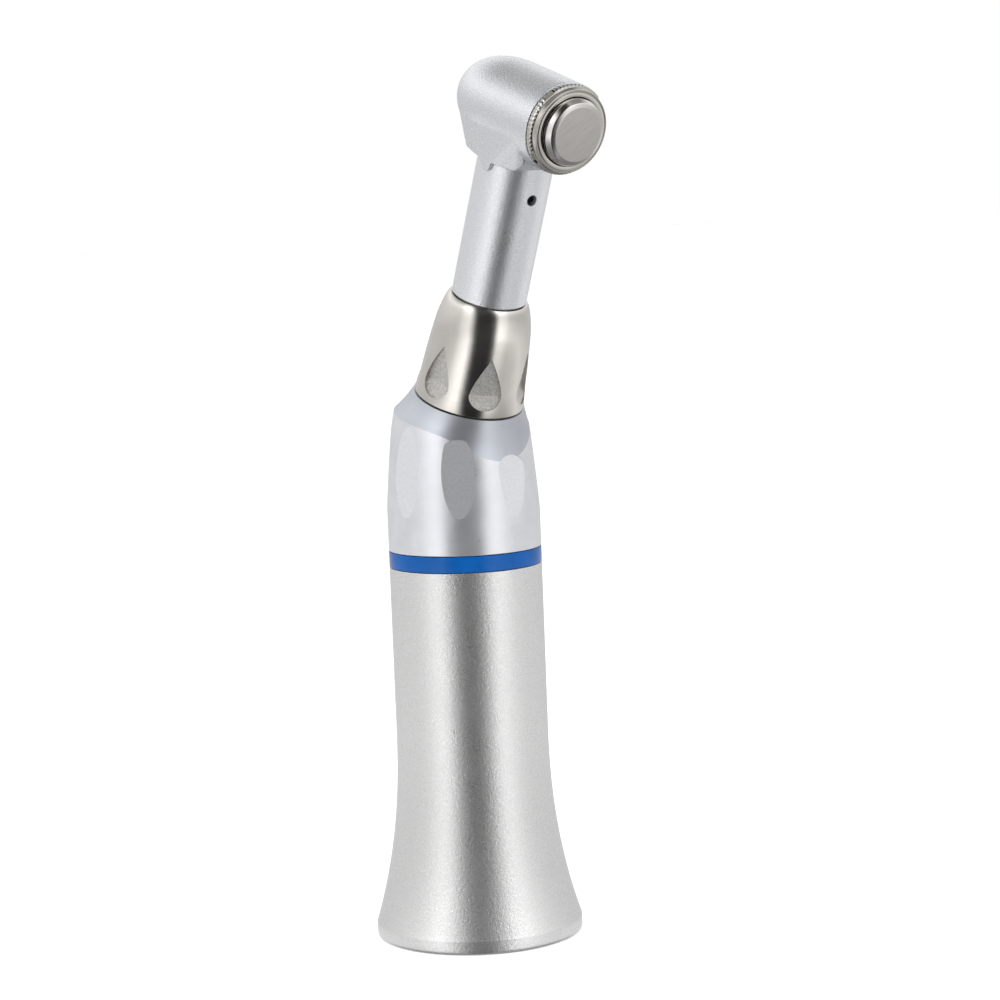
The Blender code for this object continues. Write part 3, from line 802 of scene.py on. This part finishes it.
def bumped(tree, shader, heights):
    """Chains bumps, each a (height, depth in millimetres) pair."""
    normal = None
    for height, depth in heights:
        inputs = {"Height": height, "Distance": depth * MM, "Strength": 1.0}
        if normal:
            inputs["Normal"] = normal
        normal = add(tree, "Bump", inputs).outputs[0]
    tree.links.new(normal, shader.inputs["Normal"])


def blasted_metal(name, colour, roughness, grain, depth, axis, turning=0.0):
    """Sand-blasted metal: fine grain, soft clouding, and a trace of the lathe where turning is set."""
    material, tree, shader = new_material(name, 0.9)
    place = millimetres(tree)
    fine = noise(tree, place, 1 / grain, 2.0, 0.6)
    clouds = noise(tree, place, 0.35, 3.0)
    speckle = noise(tree, place, 0.8 / grain, 1.0)
    tree.links.new(tone(tree, speckle, colour, 0.93, 1.04), shader.inputs["Base Color"])
    local = spread(tree, fine, roughness - 0.05, roughness + 0.05)
    rough = maths(tree, "ADD", spread(tree, clouds, -0.02, 0.02), local)
    tree.links.new(rough, shader.inputs["Roughness"])
    heights = [(fine, depth), (noise(tree, place, 0.42 / grain, 2.0), depth * 0.8)]
    if turning:
        heights.append((noise(tree, around(tree, axis, 5.0), 1.0, 3.0), turning))
    bumped(tree, shader, heights)
    return material


def sheath_metal():
    return blasted_metal("sheath_blasted", (0.79, 0.785, 0.775), 0.3, 0.12, 0.024, BODY, 0.003)


def neck_metal():
    return blasted_metal("neck_blasted", (0.83, 0.835, 0.855), 0.32, 0.12, 0.024, NECK, 0.001)


def head_metal():
    return blasted_metal("head_blasted", (0.76, 0.77, 0.785), 0.28, 0.12, 0.026, HEAD)


def turned_metal(name, colour, roughness, axis, depth, lengthwise=9.0, metallic=1.0):
    """Lathe-finished metal with fine rings round the axis and faint handling marks."""
    material, tree, shader = new_material(name, metallic)
    rings = noise(tree, around(tree, axis, lengthwise), 1.0, 4.0, 0.6)
    place = millimetres(tree)
    clouds = noise(tree, place, 0.5, 4.0)
    tree.links.new(tone(tree, clouds, colour, 0.95, 1.03), shader.inputs["Base Color"])
    local = spread(tree, rings, roughness - 0.04, roughness + 0.04)
    rough = maths(tree, "ADD", spread(tree, clouds, -0.03, 0.03), local)
    tree.links.new(rough, shader.inputs["Roughness"])
    grain = noise(tree, place, 7.0, 2.0)
    bumped(tree, shader, [(rings, depth), (grain, depth * 0.8)])
    return material


def barrel_metal():
    return turned_metal("barrel_satin", (0.79, 0.8, 0.83), 0.33, BODY, 0.0006, 4.0, 0.8)


# The barrel's own turned metal with a darker colour: painted shade that darkens the chamfer band, which is
# the same metal as the barrel.
def chamfer_painted_shade_metal():
    return turned_metal("chamfer_satin_painted_shade", (0.52, 0.54, 0.58), 0.33, NECK, 0.0006, 4.0, 0.8)


def collar_metal():
    return turned_metal("collar_nickel", (0.69, 0.66, 0.615), 0.16, NECK, 0.001, 5.0)


def polished_metal():
    return turned_metal("cap_polished", (0.55, 0.53, 0.49), 0.1, HEAD, 0.0006)


def button_side_metal():
    return turned_metal("button_polished", (0.64, 0.62, 0.59), 0.19, HEAD, 0.0008)


def button_face_metal():
    """Linear brushing across the face."""
    material, tree, shader = new_material("button_brushed", 1.0)
    grain_axis = HEAD @ Matrix.Rotation(math.radians(35), 4, "Z")
    streaks = noise(tree, millimetres(tree, grain_axis, (0.09, 2.2, 1.0)), 1.0, 4.0, 0.7)
    tree.links.new(tone(tree, streaks, (0.52, 0.5, 0.475), 0.84, 1.08), shader.inputs["Base Color"])
    tree.links.new(spread(tree, streaks, 0.3, 0.42), shader.inputs["Roughness"])
    bumped(tree, shader, [(streaks, 0.003)])
    return material


def milled_flat_metal():
    """The cutter's wavy feed marks across each flat."""
    material, tree, shader = new_material("milled_flat", 0.75)
    place = millimetres(tree)
    wave = add(
        tree,
        "TexWave",
        {"Vector": place, "Scale": 0.9, "Distortion": 3.0, "Detail": 2.0, "Detail Scale": 0.6},
        bands_direction="Z",
    ).outputs["Fac"]
    grain = noise(tree, place, 5.0, 3.0)
    tree.links.new(tone(tree, grain, (0.84, 0.85, 0.88), 0.93, 1.03), shader.inputs["Base Color"])
    tree.links.new(spread(tree, grain, 0.3, 0.38), shader.inputs["Roughness"])
    bumped(tree, shader, [(wave, 0.004), (grain, 0.003)])
    return material


def recess_metal():
    """The coarse granular floor of the grip recesses."""
    material, tree, shader = new_material("recess_milled", 1.0)
    place = millimetres(tree, NECK)
    coarse = noise(tree, place, 4.5, 4.0, 0.7)
    cross = noise(tree, millimetres(tree, NECK, (1.0, 1.0, 0.16)), 3.0, 2.0)
    tree.links.new(tone(tree, coarse, (0.78, 0.76, 0.72), 0.7, 1.2), shader.inputs["Base Color"])
    tree.links.new(spread(tree, coarse, 0.3, 0.42), shader.inputs["Roughness"])
    bumped(tree, shader, [(coarse, 0.13), (cross, 0.05)])
    return material


def ring_blue():
    """Glossy blue enamel with faint clouding and turning marks."""
    material, tree, shader = new_material("ring_blue_gloss", 0.0)
    place = millimetres(tree)
    clouds = noise(tree, place, 0.6, 3.0)
    tree.links.new(tone(tree, clouds, (0.001, 0.09, 0.35), 0.9, 1.1), shader.inputs["Base Color"])
    tree.links.new(spread(tree, clouds, 0.14, 0.22), shader.inputs["Roughness"])
    shader.inputs["Specular IOR Level"].default_value = 0.25
    bumped(tree, shader, [(noise(tree, around(tree, BODY, 5.0), 1.0, 3.0), 0.0015)])
    return material


def plain_steel(name, colour, roughness, depth):
    """Inner pieces: ground or turned metal with fine scratches."""
    material, tree, shader = new_material(name, 1.0)
    place = millimetres(tree)
    scratches = noise(tree, millimetres(tree, BODY, (1.0, 1.0, 0.12)), 2.5, 4.0, 0.65)
    oil = noise(tree, place, 0.7, 3.0)
    tree.links.new(tone(tree, oil, colour, 0.85, 1.1), shader.inputs["Base Color"])
    tree.links.new(spread(tree, scratches, roughness - 0.06, roughness + 0.06), shader.inputs["Roughness"])
    bumped(tree, shader, [(scratches, depth)])
    return material


def rubber():
    material, tree, shader = new_material("seal_rubber", 0.0)
    place = millimetres(tree)
    grain = noise(tree, place, 4.0, 3.0)
    tree.links.new(tone(tree, grain, (0.022, 0.022, 0.024), 0.8, 1.3), shader.inputs["Base Color"])
    tree.links.new(spread(tree, grain, 0.5, 0.65), shader.inputs["Roughness"])
    bumped(tree, shader, [(grain, 0.006)])
    return material


def dress_inner_pieces():
    """Gives each CAD node that stays the material of its slot in the record."""
    looks = {
        "brushed_steel": plain_steel("brushed_steel", (0.55, 0.53, 0.5), 0.34, 0.004),
        "gear_steel": plain_steel("gear_steel", (0.42, 0.42, 0.44), 0.28, 0.003),
        "bearing_steel": plain_steel("bearing_steel", (0.66, 0.66, 0.67), 0.16, 0.001),
        "spring_steel": plain_steel("spring_steel", (0.4, 0.4, 0.41), 0.26, 0.002),
        "bronze": plain_steel("bronze", (0.56, 0.36, 0.16), 0.36, 0.004),
        "seal_rubber": rubber(),
    }
    black_oxide = plain_steel("black_oxide", (0.012, 0.012, 0.013), 0.5, 0.003)
    looks_of_node = {"neck_locating_screw": black_oxide}
    slot_of = {part["node"]: part["material_slot"] for part in frame["record"]["subparts"]}
    for name, obj in frame["nodes"].items():
        look = looks_of_node.get(name) or looks.get(slot_of[name])
        if not look:
            continue
        if not obj.material_slots:
            obj.data.materials.append(None)
        for holder in obj.material_slots:
            holder.material = look


# Studio


def make_camera():
    data = bpy.data.cameras.new("camera")
    data.lens = CAMERA_LENS
    data.sensor_width = CAMERA_SENSOR
    data.clip_start, data.clip_end = 0.01, 20.0
    camera = bpy.data.objects.new("camera", data)
    bpy.context.scene.collection.objects.link(camera)
    heading = Matrix.Rotation(CAMERA_AZIMUTH + math.pi / 2, 4, "Z")
    pitch = Matrix.Rotation(math.pi / 2 - CAMERA_ELEVATION, 4, "X")
    roll = Matrix.Rotation(CAMERA_ROLL, 4, "Z")
    camera.matrix_world = Matrix.Translation(CAMERA_PLACE * MM) @ heading @ pitch @ roll
    bpy.context.scene.camera = camera


def make_floor():
    """A wide pale sheet that the metal doesn't mirror, so that the studio shapes the reflections."""
    shape = bmesh.new()
    bmesh.ops.create_grid(shape, x_segments=8, y_segments=8, size=3000)
    floor = from_bmesh("floor", shape, Matrix.Identity(4))
    floor.data.transform(Matrix.Scale(MM, 4))
    material, tree, shader = new_material("pale_floor", 0.0)
    shader.inputs["Roughness"].default_value = 0.9
    shader.inputs["Specular IOR Level"].default_value = 0.1
    shader.inputs["Emission Color"].default_value = (1.0, 1.0, 1.0, 1.0)
    shader.inputs["Emission Strength"].default_value = 0.36
    speckle = noise(tree, millimetres(tree), 0.02, 2.0)
    tree.links.new(tone(tree, speckle, (0.95, 0.95, 0.95), 0.995, 1.005), shader.inputs["Base Color"])
    floor.data.materials.append(material)
    floor.visible_glossy = False


# The studio's brightness round the horizon, by angle from the camera: dark where the camera
# stands, a bright strip on each side of it, and pale walls behind.
WALLS = [
    (-180, 0.85),
    (-90, 0.85),
    (-64, 0.95),
    (-50, 1.4),
    (-36, 1.6),
    (-21, 0.15),
    (-14, 0.05),
    (16, 0.05),
    (26, 0.15),
    (38, 1.6),
    (52, 1.4),
    (66, 1.0),
    (90, 0.85),
    (180, 0.8),
]
# The brightness of the studio by elevation, away from the camera's side
HEIGHTS = [
    (-90, 0.3),
    (-50, 0.35),
    (-34, 0.6),
    (-22, 1.15),
    (-12, 0.92),
    (-6, 0.78),
    (6, 0.82),
    (18, 1.1),
    (30, 1.5),
    (40, 1.1),
    (52, 0.4),
    (72, 0.4),
    (90, 0.7),
]


def brightness_ramp(tree, value, stops, low, high):
    """A grey ramp from (position, brightness) stops, where value runs from low to high."""
    inputs = {"Value": value, "From Min": low, "From Max": high}
    place = add(tree, "MapRange", inputs).outputs[0]
    brightest = max(level for _, level in stops)
    ramp = add(tree, "ValToRGB", {"Fac": place})
    points = ramp.color_ramp.elements
    while len(points) < len(stops):
        points.new(0.5)
    for point, (position, level) in zip(points, stops):
        point.position = (position - low) / (high - low)
        point.color = (level / brightest, level / brightest, level / brightest, 1.0)
    return maths(tree, "MULTIPLY", ramp.outputs[0], brightest)


def make_studio():
    """A round studio of soft light, which shows plain white to the camera."""
    world = bpy.data.worlds.new("studio")
    bpy.context.scene.world = world
    world.use_nodes = True
    tree = world.node_tree
    tree.nodes.clear()
    direction = add(tree, "TexCoord").outputs["Generated"]
    toward = Vector((CAMERA_PLACE.x, CAMERA_PLACE.y, 0)).normalized()
    sideways = Vector((-toward.y, toward.x, 0))
    ahead = add(tree, "VectorMath", {0: direction, 1: toward}, operation="DOT_PRODUCT").outputs["Value"]
    aside = add(tree, "VectorMath", {0: direction, 1: sideways}, operation="DOT_PRODUCT").outputs["Value"]
    up = add(tree, "SeparateXYZ", {0: direction}).outputs[2]
    azimuth = maths(tree, "DEGREES", maths(tree, "ARCTAN2", aside, ahead))
    elevation = maths(tree, "DEGREES", maths(tree, "ARCSINE", up))
    walls = brightness_ramp(tree, azimuth, WALLS, -180, 180)
    heights = brightness_ramp(tree, elevation, HEIGHTS, -90, 90)
    reflected = maths(tree, "MULTIPLY", walls, heights)
    seen = add(tree, "LightPath").outputs["Is Camera Ray"]
    studio = add(tree, "Background", {"Strength": reflected, "Color": (0.985, 0.99, 1.0, 1.0)})
    backdrop = add(tree, "Background", {"Strength": 1.0, "Color": (1.0, 1.0, 1.0, 1.0)})
    mix = add(tree, "MixShader", {0: seen, 1: studio.outputs[0], 2: backdrop.outputs[0]})
    output = add(tree, "OutputWorld")
    tree.links.new(mix.outputs[0], output.inputs["Surface"])


def make_lights():
    """A large soft light overhead, which whitens the floor and gives the soft shadow."""
    data = bpy.data.lights.new("overhead", "AREA")
    data.shape = "DISK"
    data.size = 0.9
    data.energy = 5.0
    data.specular_factor = 0.0
    light = bpy.data.objects.new("overhead", data)
    bpy.context.scene.collection.objects.link(light)
    light.location = (0.1, -0.2, 0.9)
    light.rotation_euler = Euler((math.radians(12), math.radians(6), 0))
    light.visible_glossy = False


make_camera()
make_studio()
make_lights()
make_floor()
bpy.context.scene.view_settings.view_transform = "Standard"

make_rear_sheath()
make_blue_ring()
make_front_body()
make_lock_collar()
make_neck_tube()
make_head_shell()
make_cap_ring()
make_push_button()
dress_inner_pieces()
